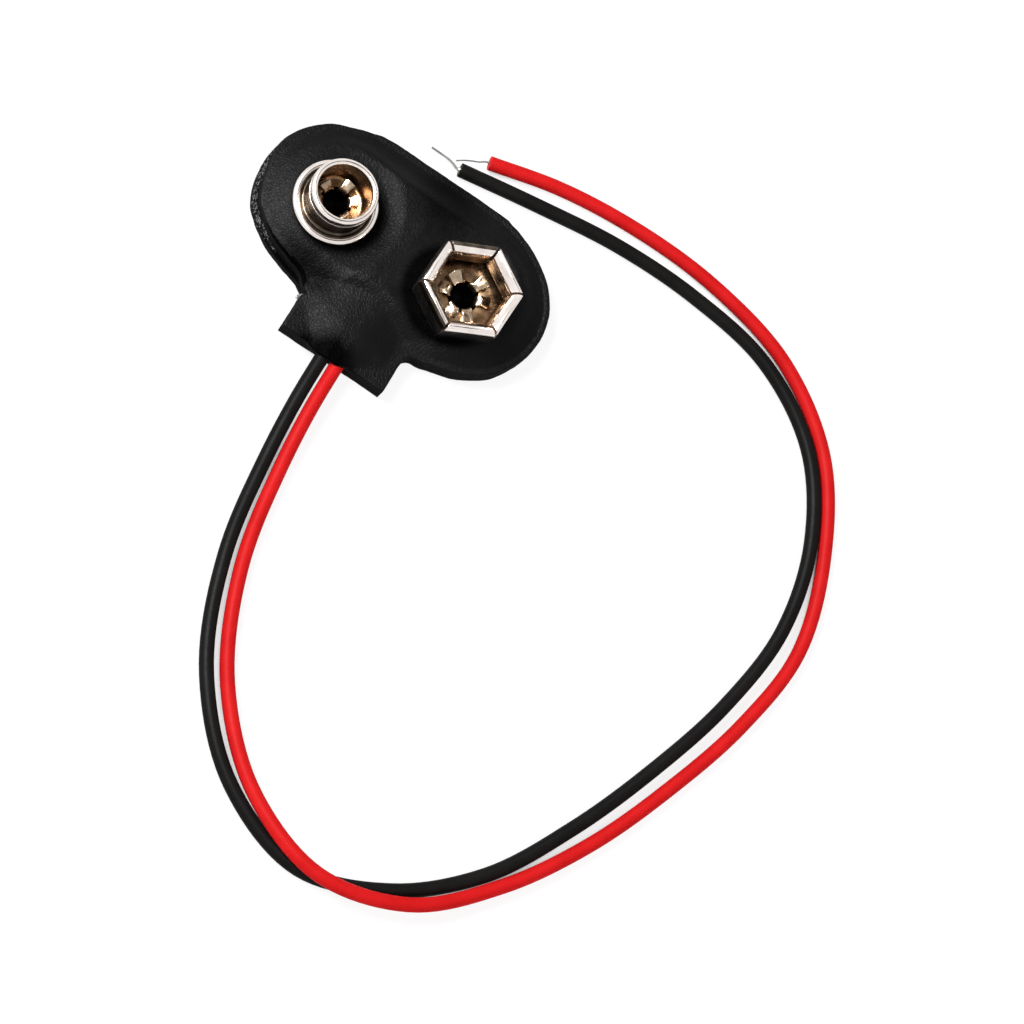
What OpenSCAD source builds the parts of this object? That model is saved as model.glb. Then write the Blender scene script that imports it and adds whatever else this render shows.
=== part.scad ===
// Snap connector for a 9 volt block battery: two leatherette covers welded round a fibre board,
// a plated stud and a plated six-leaf socket riveted through it, and two leads soldered inside.
// The origin lies on the resting plane, midway between the two contacts. +X runs from the stud to
// the socket, +Z is up, and the leads leave towards -Y.

/* [Contacts] */
// Distance between the centres of the stud and the socket
contact_pitch = 12.7; // [12:0.1:14]
// Thickness of the plated contact metal
contact_t = 0.3; // [0.2:0.02:0.36]

/* [Stud] */
// Diameter of the stud's flange
stud_flange_d = 7.2; // [6.8:0.1:7.8]
// Diameter of the bead rolled round the flange
stud_bead_d = 0.55; // [0.45:0.01:0.6]
// Diameter of the stud's head
stud_head_d = 5.56; // [5.4:0.02:5.8]
// Diameter of the waist under the head
stud_waist_d = 5.08; // [4.9:0.02:5.2]
// Diameter of the cup inside the stud
stud_cup_d = 4.6; // [4.4:0.02:4.7]
// Height of the stud above the cover
stud_h = 3.25; // [2.8:0.05:3.6]
// Straight length of the head's side
stud_land = 0.9; // [0.6:0.05:1.2]
// Radius where the flange turns up into the waist
stud_root_r = 0.35; // [0.2:0.05:0.4]

/* [Socket] */
// Width of the six-sided socket across its flats
socket_af = 7.48; // [7.2:0.02:8]
// Height of the socket above the cover
socket_h = 3; // [2.7:0.05:3.4]
// Free gap inside the fold of each leaf
socket_fold_gap = 0.15; // [0.1:0.01:0.25]
// How far each folded leaf reaches down from the rim
socket_leaf_drop = 1.7; // [1.2:0.05:1.9]
// How far the foot of each folded leaf leans inwards
socket_leaf_lean = 0.25; // [0.1:0.05:0.5]
// Width of the slit between two leaves
socket_slit = 0.2; // [0.1:0.02:0.3]

/* [Rivets] */
// Outer diameter of the tubular rivets
rivet_d = 2.6; // [2.4:0.05:2.8]
// Bore of the rivets
rivet_bore_d = 2.05; // [1.8:0.05:2.1]
// Diameter of the rivet heads under the board
rivet_head_d = 4.2; // [3.8:0.1:4.8]
// Thickness of the rivet heads
rivet_head_t = 0.4; // [0.4:0.02:0.6]
// Radius inside the curl of a rivet's split end
rivet_curl_r = 0.18; // [0.1:0.02:0.25]
// Number of petals that the end splits into
rivet_petals = 6; // [4:1:8]
// Width of the split between two petals
rivet_split = 0.35; // [0.2:0.05:0.5]
// Room round a rivet in the holes that it passes
rivet_clearance = 0.05; // [0.02:0.01:0.1]

/* [Board] */
// Width of the fibre board
board_w = 8.4; // [7.6:0.1:9]
// Thickness of the fibre board
board_t = 0.5; // [0.4:0.05:0.8]
// Room between the board's edge and the foot of the covers' slope
board_room = 1.3; // [1.1:0.05:1.6]

/* [Covers] */
// Thickness of each leatherette cover
cover_t = 0.85; // [0.7:0.05:1]
// How far the covers reach past each contact's centre along X
cover_end = 6.8; // [6.6:0.05:8]
// How far the covers reach past the board's long sides
cover_side = 3.05; // [2.6:0.05:4]
// Width of the flat weld along the covers' edge
weld_w = 0.5; // [0.3:0.05:0.7]
// Width of the tab that the leads leave through
tab_w = 9.65; // [8.6:0.05:11]
// How far the tab stands out from the covers' long side
tab_out = 4; // [3:0.1:6]
// Radius in the inner corner between the tab and the socket's end
tab_fillet = 1; // [0.5:0.1:1.5]
// Shift of the covers along X from the middle of the contacts
cover_shift_x = 0.3; // [-0.4:0.05:0.4]
// Shift of the covers along Y from the line of the contacts
cover_shift_y = 0.67; // [-0.7:0.01:0.7]
// Turn of the covers about the upright axis, in degrees
cover_turn = 2.2; // [-2.5:0.1:2.5]

/* [Leads] */
// Diameter over the leads' insulation
wire_d = 1.2; // [1:0.05:1.3]
// Diameter of the bare stranded core
core_d = 0.3; // [0.2:0.02:0.36]
// Diameter of the single strand left at the red lead's cut end
strand_d = 0.16; // [0.1:0.02:0.2]
// Straight length of a bare core where it leaves the insulation
core_stub = 0.3; // [0.2:0.05:0.4]
// Distance between the two leads inside the tab
wire_pitch = 1.35; // [1.35:0.05:1.8]
// Shift of the leads along X from the tab's middle
wire_shift = -0.2; // [-0.4:0.05:0.4]
// Length of each insulated lead inside the tab
wire_grip = 5.25; // [4:0.05:6]
// Room over and beside the leads inside the tab
wire_clearance = 0.05; // [0.03:0.01:0.1]
// Width of the slope beside the leads, inside the tab
wire_slope = 1.6; // [1.2:0.1:2]
// Diameter of the solder joint on each rivet head
solder_d = 1.5; // [1.2:0.1:1.8]

/* [Hidden] */
$fn = 64;
ARC_STEPS = 8;
CORD_SIDES = 8;
RINGS_PER_LEG = 2;
OVERCUT = 1;
CORE_STUBS = 4;
LEATHERETTE = "#1d1d20";
NICKEL = "#c9c4bd";
FIBRE = "#7a4a2c";
SOLDER = "#9c9ea1";
COPPER = "#b9b3aa";
RED = "#d8141c";
BLACK = "#161616";

// Heights of the layers, from the resting plane up
head_z = cover_t;
board_z = head_z + rivet_head_t;
seat_z = board_z + board_t + cover_t;
floor_z = seat_z + contact_t;
rim_z = 2 * cover_t;
dome_h = rivet_head_t + board_t;

// Outline of the covers, in their own turned and shifted frame
cover_r = board_w / 2 + cover_side;
cover_span = contact_pitch + 2 * (cover_end - cover_r);
tab_end_y = -(cover_r + tab_out);
dome_foot_r = cover_r - weld_w;
dome_flat_r = board_w / 2 + board_room;
fillet_x = tab_w / 2 + tab_fillet;
fillet_y = -sqrt(pow(cover_r + tab_fillet, 2) - pow(max(0, fillet_x - cover_span / 2), 2));

// The tunnel that the leads take through the tab
wire_z = cover_t + wire_d / 2;
wire_start_y = tab_end_y + wire_grip;
tunnel_h = wire_d + wire_clearance;
tunnel_flat_r = wire_pitch / 2 + wire_d / 4;
tunnel_foot_r = tunnel_flat_r + wire_slope;

// Contacts and rivets
stud_x = -contact_pitch / 2;
socket_x = contact_pitch / 2;
lip_r = (stud_head_d - stud_cup_d) / 4;
fold_r = contact_t + socket_fold_gap / 2;
hole_r = rivet_d / 2 + rivet_clearance;
rivet_wall = (rivet_d - rivet_bore_d) / 2;
core_z = cover_t + rivet_head_t / 2;
solder_h = (rivet_head_t + core_d) / 2;

// Free routes of the leads from the tab to their cut ends, laid on the resting plane
red_route = [
    [1.48, -15, 1.2], [2.22, -20.5, 0.7], [4.1, -29, 0.62], [8.4, -37.5, 0.64], [14.9, -43.6, 1.2],
    [22.2, -46, 1.88], [29.4, -43.7, 1.5], [35, -37.9, 0.85], [39.2, -30.9, 0.62], [42.4, -22.9, 0.6],
    [44.7, -15, 0.6], [45.6, -7, 0.6], [43.2, 1.5, 0.6], [38.6, 8.9, 0.6], [31.8, 13.5, 0.6],
    [23.5, 15.3, 0.6], [15, 15.2, 0.6], [8, 14, 0.6], [2.2, 12.1, 0.6]
];
black_route = [
    [0.12, -15, 1.2], [0.8, -20.5, 0.7], [2.5, -29, 0.62], [6.6, -37.8, 0.6], [13, -43.9, 0.6],
    [20.8, -46.2, 0.6], [28, -43.2, 0.6], [33.5, -37.8, 0.6], [37.4, -30.5, 0.6], [40.4, -22.6, 0.6],
    [42.7, -14.3, 0.6], [43.5, -6.2, 0.6], [41.7, 1.7, 0.6], [37.2, 8.5, 0.6], [30.4, 12.4, 0.6],
    [22.6, 13.4, 0.6], [14.8, 13, 0.6], [7.5, 11.6, 0.6], [0.5, 10, 0.6]
];
red_tip_route = [[1.4, 11.6, 0.62], [0.8, 11.2, 0.65], [0.2, 10.75, 0.7], [-0.2, 10.4, 0.75]];
black_tip_route = [[-0.2, 10.1, 0.55], [-0.7, 10.25, 0.45], [-1.5, 10.3, 0.35], [-2.4, 10.3, 0.25]];

// A point of the covers' frame in the part's frame
function on_cover(p) = [
    cover_shift_x + p.x * cos(cover_turn) - p.y * sin(cover_turn),
    cover_shift_y + p.x * sin(cover_turn) + p.y * cos(cover_turn),
    p.z
];

// Points on an arc, from one angle to another
function arc(centre, r, from, to) = [
    for (k = [0 : ARC_STEPS])
        let (a = from + (to - from) * k / ARC_STEPS)
        centre + r * [cos(a), sin(a)]
];

// A smooth step from 1 at t = 0 to 0 at t = 1
function fall(t) = (1 + cos(180 * t)) / 2;

// Half of a swelling's section: flat on top, then a smooth slope down to its foot
function slope(flat_r, foot_r, h) = [
    for (k = [0 : ARC_STEPS])
        let (t = k / ARC_STEPS)
        [flat_r + (foot_r - flat_r) * t, h * fall(t)]
];

// One curve through a route's points: leg lengths, headings and points between
function leg(p, i) = norm(p[i + 1] - p[i]);
function heading(p, i) =
    i == 0 ? (p[1] - p[0]) / leg(p, 0) :
    i == len(p) - 1 ? (p[i] - p[i - 1]) / leg(p, i - 1) :
    let (a = leg(p, i - 1), b = leg(p, i))
    ((p[i] - p[i - 1]) * b / a + (p[i + 1] - p[i]) * a / b) / (a + b);
function between(p, i, t) =
    let (a = heading(p, i) * leg(p, i), b = heading(p, i + 1) * leg(p, i))
    p[i] + t * t * (3 - 2 * t) * (p[i + 1] - p[i]) + t * (1 - t) * ((1 - t) * a - t * b);
function curve(p) = concat(
    [for (i = [0 : len(p) - 2]) for (k = [0 : RINGS_PER_LEG - 1]) between(p, i, k / RINGS_PER_LEG)],
    [p[len(p) - 1]]
);

// A ring of points round a curve's point, with a flat side downwards
function ring(c, i, r) =
    let (ahead = heading(c, i), side = cross([0, 0, 1], ahead) / norm(cross([0, 0, 1], ahead)))
    let (up = cross(ahead, side))
    [
        for (k = [0 : CORD_SIDES - 1])
            let (a = 360 * (k + 0.5) / CORD_SIDES)
            c[i] + r * (cos(a) * side + sin(a) * up)
    ];

// The leads' whole routes, from inside the tab to their cut ends
function lead(side, route) = concat(
    [for (y = [wire_start_y, tab_end_y]) on_cover([wire_shift + side * wire_pitch / 2, y, wire_z])],
    route
);
red_lead = lead(1, red_route);
black_lead = lead(-1, black_route);

// The bare core from a lead's inner end, down under the board to its rivet's head
function inner_core(points, contact_x) =
    let (
        start = points[0],
        back = -core_stub * heading(points, 0),
        under = [start.x + CORE_STUBS * back.x, start.y + CORE_STUBS * back.y, core_z],
        way = [contact_x, 0, core_z] - under,
        seat = under + way * (1 - (rivet_head_d / 2 + rivet_clearance) / norm(way))
    )
    [start, start + back, under - [back.x, back.y, 0], under, seat];

// The bare core from a lead's cut end, straight at first and then along its own route
function outer_core(points, route) =
    let (last = len(points) - 1)
    concat([points[last], points[last] + core_stub * heading(points, last)], route);

red_curve = curve(red_lead);
black_curve = curve(black_lead);
red_core = inner_core(red_curve, socket_x);
black_core = inner_core(black_curve, stud_x);

// A round cord along a curve's points
module tube(points, d) {
    rings = len(points);
    n = CORD_SIDES;
    polyhedron(
        points = [for (i = [0 : rings - 1]) each ring(points, i, d / 2)],
        faces = concat(
            [[for (k = [0 : n - 1]) k]],
            [
                for (i = [0 : rings - 2])
                    for (k = [0 : n - 1])
                        [i * n + k, (i + 1) * n + k, (i + 1) * n + (k + 1) % n, i * n + (k + 1) % n]
            ],
            [[for (k = [n - 1 : -1 : 0]) (rings - 1) * n + k]]
        )
    );
}

// Moves its children into the covers' frame
module in_cover_frame() {
    translate([cover_shift_x, cover_shift_y, 0])
        rotate([0, 0, cover_turn])
            children();
}

// A plate with two round ends, span apart
module stadium(span, r) {
    square([span, 2 * r], center = true);
    for (side = [-1, 1])
        translate([side * span / 2, 0])
            circle(r);
}

// The covers' cut outline, with the tab and its one rounded inner corner
module cover_outline() {
    stadium(cover_span, cover_r);
    translate([-tab_w / 2, tab_end_y])
        square([tab_w, -tab_end_y]);
    difference() {
        translate([0, fillet_y])
            square([fillet_x, -fillet_y]);
        translate([fillet_x, fillet_y])
            circle(tab_fillet);
    }
}

// The swelling of the covers over the board
module dome() {
    half = slope(dome_flat_r, dome_foot_r, dome_h);
    section = concat(half, [[dome_foot_r, -cover_t / 2], [0, -cover_t / 2], [0, dome_h]]);
    for (end = [-1, 1])
        translate([end * cover_span / 2, 0, 0])
            rotate([0, 0, -90 * end])
                rotate_extrude(angle = 180)
                    polygon(section);
    for (side = [0, 1])
        mirror([0, side, 0])
            rotate([90, 0, 90])
                linear_extrude(cover_span, center = true)
                    polygon(section);
}

// The swelling of the tab over the leads, round at its inner end
module tunnel(flat_r, foot_r, length) {
    half = slope(flat_r, foot_r, tunnel_h);
    section = concat(half, [[foot_r, -cover_t / 2], [0, -cover_t / 2], [0, tunnel_h]]);
    translate([wire_shift, wire_start_y, 0]) {
        rotate_extrude(angle = 180)
            polygon(section);
        for (side = [0, 1])
            mirror([side, 0, 0])
                rotate([90, 0, 0])
                    linear_extrude(length)
                        polygon(section);
    }
}

// Round holes at both contacts
module contact_holes(r, z, h) {
    for (x = [stud_x, socket_x])
        translate([x, 0, z])
            cylinder(r = r, h = h);
}

module bottom_cover() {
    color(LEATHERETTE)
        in_cover_frame()
            linear_extrude(cover_t)
                cover_outline();
}

module top_cover() {
    color(LEATHERETTE)
        difference() {
            in_cover_frame()
                difference() {
                    union() {
                        translate([0, 0, cover_t])
                            linear_extrude(cover_t)
                                cover_outline();
                        translate([0, 0, rim_z])
                            dome();
                        translate([0, 0, rim_z])
                            tunnel(tunnel_flat_r + cover_t / 4, tunnel_foot_r + cover_t, wire_grip);
                    }
                    translate([0, 0, cover_t])
                        dome();
                    translate([0, 0, cover_t])
                        tunnel(tunnel_flat_r, tunnel_foot_r, wire_grip + OVERCUT);
                }
            contact_holes(hole_r, board_z, seat_z);
        }
}

module contact_board() {
    color(FIBRE)
        difference() {
            translate([0, 0, board_z])
                linear_extrude(board_t)
                    stadium(contact_pitch, board_w / 2);
            contact_holes(hole_r, board_z - OVERCUT, board_t + 2 * OVERCUT);
        }
}

module stud_contact() {
    flange_r = stud_flange_d / 2;
    bead_r = stud_bead_d / 2;
    head_r = stud_head_d / 2;
    waist_r = stud_waist_d / 2;
    cup_r = stud_cup_d / 2;
    land_top = stud_h - lip_r;
    land_foot = land_top - stud_land;
    bead_end = 180 - asin((contact_t - bead_r) / bead_r);
    section = concat(
        [[hole_r, 0]],
        arc([flange_r - bead_r, bead_r], bead_r, -90, bead_end),
        arc([waist_r + stud_root_r, contact_t + stud_root_r], stud_root_r, 270, 180),
        [[waist_r, land_foot - (head_r - waist_r)], [head_r, land_foot]],
        arc([head_r - lip_r, land_top], lip_r, 0, 180),
        [[cup_r, contact_t], [hole_r, contact_t]]
    );
    color(NICKEL)
        translate([stud_x, 0, seat_z])
            rotate_extrude()
                polygon(section);
}

// One leaf of the socket: up from the floor, folded over at the rim and back down inside
module socket_leaf() {
    flat_r = socket_af / 2;
    fold_z = socket_h - fold_r;
    fold_x = flat_r - fold_r;
    inner_x = flat_r - 2 * fold_r;
    foot = [inner_x - socket_leaf_lean, fold_z - socket_leaf_drop];
    section = concat(
        [[flat_r, 0]],
        arc([fold_x, fold_z], fold_r, 0, 180),
        [foot, foot + [contact_t, 0]],
        arc([fold_x, fold_z], socket_fold_gap / 2, 180, 0),
        [[flat_r - contact_t, 0]]
    );
    half_w = (socket_af - socket_slit) * tan(30);
    intersection() {
        rotate([90, 0, 0])
            linear_extrude(socket_af, center = true)
                polygon(section);
        translate([0, 0, -OVERCUT])
            linear_extrude(socket_h + 2 * OVERCUT)
                polygon([[socket_slit, 0], [socket_af, half_w], [socket_af, -half_w]]);
    }
}

module socket_contact() {
    color(NICKEL)
        translate([socket_x, 0, seat_z]) {
            difference() {
                rotate([0, 0, 30])
                    cylinder(d = (socket_af - contact_t) / cos(30), h = contact_t, $fn = 6);
                translate([0, 0, -OVERCUT])
                    cylinder(r = hole_r, h = contact_t + 2 * OVERCUT);
            }
            for (a = [0 : 60 : 300])
                rotate([0, 0, a])
                    socket_leaf();
        }
}

// A tubular rivet: head under the board, shank, and an end split and curled over the contact's floor
module rivet() {
    r = rivet_d / 2;
    curl = [r + rivet_curl_r, floor_z];
    section = concat(
        [[rivet_bore_d / 2, head_z], [rivet_head_d / 2, head_z], [rivet_head_d / 2, board_z], [r, board_z]],
        arc(curl, rivet_curl_r, 180, 0),
        arc(curl, rivet_curl_r + rivet_wall, 0, 180)
    );
    difference() {
        rotate_extrude()
            polygon(section);
        for (k = [0 : rivet_petals - 1])
            rotate([0, 0, 360 * (k + 0.5) / rivet_petals])
                translate([0, -rivet_split / 2, floor_z])
                    cube([rivet_d, rivet_split, rivet_d]);
    }
}

module stud_rivet() {
    color(NICKEL)
        translate([stud_x, 0, 0])
            rivet();
}

module socket_rivet() {
    color(NICKEL)
        translate([socket_x, 0, 0])
            rivet();
}

// The solder that holds a core's end on the board, against its rivet's head
module solder_joint(core, contact_x) {
    seat = core[len(core) - 1];
    way = core[len(core) - 2] - seat;
    difference() {
        translate([seat.x, seat.y, board_z - solder_h])
            cylinder(d = solder_d, h = solder_h);
        translate([contact_x, 0, head_z])
            cylinder(d = rivet_head_d, h = rivet_head_t);
        translate(seat)
            rotate([0, 90, atan2(way.y, way.x)])
                cylinder(d = core_d + rivet_clearance, h = 2 * solder_d, center = true);
    }
}

module stud_solder() {
    color(SOLDER)
        solder_joint(black_core, stud_x);
}

module socket_solder() {
    color(SOLDER)
        solder_joint(red_core, socket_x);
}

module red_wire() {
    color(RED)
        tube(red_curve, wire_d);
}

module black_wire() {
    color(BLACK)
        tube(black_curve, wire_d);
}

module red_wire_tip() {
    color(COPPER)
        tube(outer_core(red_curve, red_tip_route), strand_d);
}

module black_wire_tip() {
    color(COPPER)
        tube(outer_core(black_curve, black_tip_route), core_d);
}

module red_inner_end() {
    color(COPPER)
        tube(red_core, core_d);
}

module black_inner_end() {
    color(COPPER)
        tube(black_core, core_d);
}

bottom_cover();
contact_board();
top_cover();
stud_contact();
socket_contact();
stud_rivet();
socket_rivet();
stud_solder();
socket_solder();
red_wire();
black_wire();
red_wire_tip();
black_wire_tip();
red_inner_end();
black_inner_end();
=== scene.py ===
"""Looks of a 9 volt battery snap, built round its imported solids. Sizes are in millimetres until a
mesh is made, and every piece lies in the part's own frame."""

import math
import random

import bmesh
import bpy
from mathutils import Matrix, Vector, geometry, kdtree, noise


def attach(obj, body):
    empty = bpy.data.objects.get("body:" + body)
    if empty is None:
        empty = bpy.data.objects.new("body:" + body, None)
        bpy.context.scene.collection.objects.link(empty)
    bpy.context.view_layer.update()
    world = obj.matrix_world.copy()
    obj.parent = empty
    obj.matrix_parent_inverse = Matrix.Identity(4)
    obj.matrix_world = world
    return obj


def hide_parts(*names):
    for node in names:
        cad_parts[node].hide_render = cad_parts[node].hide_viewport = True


MM = 0.001
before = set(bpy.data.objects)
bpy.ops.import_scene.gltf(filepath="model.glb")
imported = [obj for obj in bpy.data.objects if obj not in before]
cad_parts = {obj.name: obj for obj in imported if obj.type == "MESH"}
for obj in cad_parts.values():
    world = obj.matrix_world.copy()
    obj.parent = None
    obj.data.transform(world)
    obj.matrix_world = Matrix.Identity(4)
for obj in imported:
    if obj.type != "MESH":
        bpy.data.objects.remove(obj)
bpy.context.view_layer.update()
scene = bpy.context.scene
noise.seed_set(5)

# Sizes shared with the solids
STUD_X, SOCKET_X = -6.35, 6.35
COVER_T = 0.85
RIM_Z = 2 * COVER_T
DOME_H = 0.9
SEAT_Z = RIM_Z + DOME_H
FLOOR_Z = SEAT_Z + 0.3
COVER_SHIFT = Vector((0.3, 0.67))
COVER_TURN = math.radians(2.2)
COVER_R, COVER_HALF = 7.25, 5.9
TAB_END = -11.25
TAB_FILLET = 1.0
WIRE_R, WIRE_Z = 0.6, 1.45
WIRE_SIDE, WIRE_SHIFT, WIRE_START = 0.675, -0.2, -6.0
HOLE_R = 1.35


def on_cover(x, y, z=0.0):
    """A point of the covers' turned and shifted frame in the part's frame."""
    c, s = math.cos(COVER_TURN), math.sin(COVER_TURN)
    return Vector((COVER_SHIFT.x + x * c - y * s, COVER_SHIFT.y + x * s + y * c, z))


def lerp(a, b, t):
    return a + (b - a) * t


def step(a, b, x):
    """A smooth step from 0 at a to 1 at b."""
    t = min(1.0, max(0.0, (x - a) / (b - a)))
    return t * t * (3 - 2 * t)


def angles(n):
    """The n equal steps of a full turn, in radians."""
    return [2 * math.pi * k / n for k in range(n)]


def noise_at(p, often, layer):
    """Where noise is read for p: often sets how fine it is, layer picks a slice of it."""
    return Vector((p.x * often, p.y * often, layer))


def add_object(name, data):
    obj = bpy.data.objects.new(name, data)
    scene.collection.objects.link(obj)
    return obj


# Camera, at the photograph's viewing angle
CAM_AZ, CAM_EL, CAM_ROLL = (math.radians(a) for a in (-18.022, 66.555, 52.747))
CAM_TARGET, CAM_DISTANCE = Vector((19.62, -11.45, 0.0)), 320.0
CAM_SENSOR, CAM_LENS = 36, 140.02


def make_camera():
    flat = math.cos(CAM_EL)
    back = Vector((math.sin(CAM_AZ) * flat, -math.cos(CAM_AZ) * flat, math.sin(CAM_EL)))
    right = Vector((math.cos(CAM_AZ), math.sin(CAM_AZ), 0))
    up = back.cross(right)
    x = right * math.cos(CAM_ROLL) + up * math.sin(CAM_ROLL)
    y = up * math.cos(CAM_ROLL) - right * math.sin(CAM_ROLL)
    data = bpy.data.cameras.new("camera")
    data.sensor_width = CAM_SENSOR
    data.lens = CAM_LENS
    data.clip_start, data.clip_end = 0.01, 20
    camera = add_object("camera", data)
    turn = Matrix((x, y, back)).transposed().to_4x4()
    camera.matrix_world = Matrix.Translation((CAM_TARGET + back * CAM_DISTANCE) * MM) @ turn
    scene.camera = camera


make_camera()


# Materials


def fill(tree, node, inputs):
    """Values or links for a node's inputs."""
    for key, value in inputs.items():
        if isinstance(value, bpy.types.NodeSocket):
            tree.links.new(value, node.inputs[key])
        else:
            node.inputs[key].default_value = value


def feed(tree, **inputs):
    """Values or links for the inputs of a material's Principled shader."""
    named = {name.replace("_", " "): value for name, value in inputs.items()}
    fill(tree, tree.nodes["Principled BSDF"], named)


def new_material(name, **values):
    """A Principled material with these uniform values, and its node tree."""
    material = bpy.data.materials.new(name)
    material.use_nodes = True
    feed(material.node_tree, **values)
    return material, material.node_tree


def add(tree, kind, inputs, out=0, **settings):
    """One output of a new node, with values or links for its inputs and with its settings."""
    made = tree.nodes.new("ShaderNode" + kind)
    for key, value in settings.items():
        setattr(made, key, value)
    fill(tree, made, inputs)
    return made.outputs[out]


def place(tree, scale=(1, 1, 1)):
    """Coordinates of the part's frame in millimetres, stretched by scale."""
    where = add(tree, "TexCoord", {}, "Object")
    return add(tree, "Mapping", {"Vector": where, "Scale": [s / MM for s in scale]})


def speckle(tree, at, size, detail=3.0, rough=0.55):
    """Noise with features of about that size in millimetres."""
    return add(tree, "TexNoise", {"Vector": at, "Scale": 1 / size, "Detail": detail, "Roughness": rough})


def spread(tree, value, low, high, out_low, out_high):
    """The value, mapped from one range to another."""
    inputs = {"Value": value, "From Min": low, "From Max": high, "To Min": out_low, "To Max": out_high}
    return add(tree, "MapRange", inputs)


def tint(tree, value, *stops):
    """Colours along a ramp: (position, colour) pairs."""
    ramp = add(tree, "ValToRGB", {"Fac": value})
    elements = ramp.node.color_ramp.elements
    elements.remove(elements[-1])
    for i, (position, colour) in enumerate(stops):
        e = elements[0] if i == 0 else elements.new(position)
        e.position = position
        e.color = (*colour, 1)
    return ramp


def bump(tree, height, depth, strength=1.0, under=None):
    """Relief of that depth in millimetres, over the relief under."""
    inputs = {"Height": height, "Strength": strength, "Distance": depth * MM}
    if under is not None:
        inputs["Normal"] = under
    return add(tree, "Bump", inputs)


# Painted shade on the leatherette, darkening its colour and reflections: round the contacts first, then at
# the tab's end, below the stud and along the far side. Each zone: centre, radii of full shade and of its
# end, share of tone left
PAINTED_SHADE_ZONES = (
    ((SOCKET_X - 0.85, -0.45, SEAT_Z), 3.8, 4.8, 0.1),
    ((STUD_X + 0.65, -0.1, SEAT_Z), 3.3, 4.2, 0.1),
    ((0.1, -10.8, RIM_Z + 0.6), 0.9, 2.8, 0.1),
    ((-2.0, -11.0, RIM_Z + 0.3), 0.3, 1.6, 0.1),
    ((2.5, -11.2, RIM_Z + 0.3), 0.3, 1.5, 0.1),
    ((-6.5, -5.6, RIM_Z + 0.4), 0.6, 2.6, 0.4),
    ((-3.9, -5.8, RIM_Z + 0.5), 0.5, 2.0, 0.45),
    ((1.1, 5.9, RIM_Z + 0.5), 1.0, 4.2, 0.3),
)
LEATHER_DARK, LEATHER_PALE = (0.0062, 0.0062, 0.0068), (0.0094, 0.0094, 0.0105)


def leatherette(name, tone, gloss):
    """Black grained leatherette, of that share of the plain tone, with that specular level. Painted shade
    darkens its colour and its reflections in the listed zones.
    """
    material, tree = new_material(name, Specular_IOR_Level=gloss)
    at = place(tree)
    warp = add(tree, "TexNoise", {"Vector": at, "Scale": 1.4, "Detail": 2.0}, "Color")
    bent = add(tree, "VectorMath", {0: warp, 1: (0.35, 0.35, 0.35), 2: at}, operation="MULTIPLY_ADD")
    cells = add(tree, "TexVoronoi", {"Vector": bent, "Scale": 3.6}, feature="DISTANCE_TO_EDGE")
    pebble = spread(tree, cells, 0.0, 0.22, 0.0, 1.0)
    pores = speckle(tree, at, 0.13, 4.0, 0.65)
    fine = bump(tree, pores, 0.028, 0.7)
    feed(tree, Normal=bump(tree, pebble, 0.026, 0.6, fine))
    feed(tree, Roughness=spread(tree, pores, 0.3, 0.7, 0.36, 0.5))
    dark, pale = ([tone * c for c in shade] for shade in (LEATHER_DARK, LEATHER_PALE))
    colour = tint(tree, speckle(tree, at, 2.2, 4.0), (0.3, dark), (0.7, pale))
    # Painted shade: each zone scales the colour towards its share of tone, and the same factor tints the
    # reflections darker
    dim = 1.0
    for centre, near, far, least in PAINTED_SHADE_ZONES:
        away = add(tree, "VectorMath", {0: at, 1: centre}, "Value", operation="DISTANCE")
        inputs = {"Value": away, "From Min": near, "From Max": far, "To Min": least}
        shade = add(tree, "MapRange", inputs, interpolation_type="SMOOTHSTEP")
        dim = add(tree, "Math", {0: dim, 1: shade}, operation="MULTIPLY")
    colour_in_painted_shade = add(tree, "VectorMath", {0: colour, "Scale": dim}, operation="SCALE")
    feed(tree, Base_Color=colour_in_painted_shade, Specular_Tint=dim)
    return material


def cut_edge():
    material, tree = new_material("cut_edge", Roughness=0.9, Specular_IOR_Level=0.04)
    fibres = speckle(tree, place(tree, (1, 1, 2.5)), 0.16, 5.0, 0.7)
    stops = ((0.45, (0.005, 0.005, 0.005)), (0.64, (0.012, 0.0115, 0.011)), (0.78, (0.12, 0.115, 0.11)))
    feed(tree, Base_Color=tint(tree, fibres, *stops), Normal=bump(tree, fibres, 0.06))
    return material


def fibre_fuzz():
    material, tree = new_material("fibre_fuzz", Roughness=0.85)
    tone = speckle(tree, place(tree), 0.5)
    feed(tree, Base_Color=tint(tree, tone, (0.35, (0.10, 0.097, 0.092)), (0.7, (0.36, 0.35, 0.33))))
    return material


def plated(name, dull, bright, rough, scratch):
    """Plated metal with faint cloudiness, fine drawing lines and small pits."""
    material, tree = new_material(name, Metallic=1.0)
    at = place(tree)
    cloud = speckle(tree, at, 1.1, 4.0)
    lines = speckle(tree, place(tree, (0.6, 0.6, 6.0)), 0.5, 3.0, 0.6)
    pits = speckle(tree, at, 0.12, 2.0)
    feed(tree, Base_Color=tint(tree, cloud, (0.3, dull), (0.65, bright)))
    feed(tree, Roughness=spread(tree, lines, 0.3, 0.7, *rough))
    feed(tree, Normal=bump(tree, pits, scratch, 0.6, bump(tree, lines, scratch, 0.5)))
    return material


def vinyl(name, dark, light, rough, shine):
    """Extruded cable vinyl: satin, with a cloudy tone and a fine skin."""
    material, tree = new_material(name, Specular_IOR_Level=shine)
    at = place(tree)
    skin = speckle(tree, at, 0.22, 3.0, 0.6)
    feed(tree, Base_Color=tint(tree, speckle(tree, at, 3.0), (0.3, dark), (0.7, light)))
    feed(tree, Roughness=spread(tree, skin, 0.3, 0.7, *rough), Normal=bump(tree, skin, 0.012, 0.5))
    return material


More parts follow.
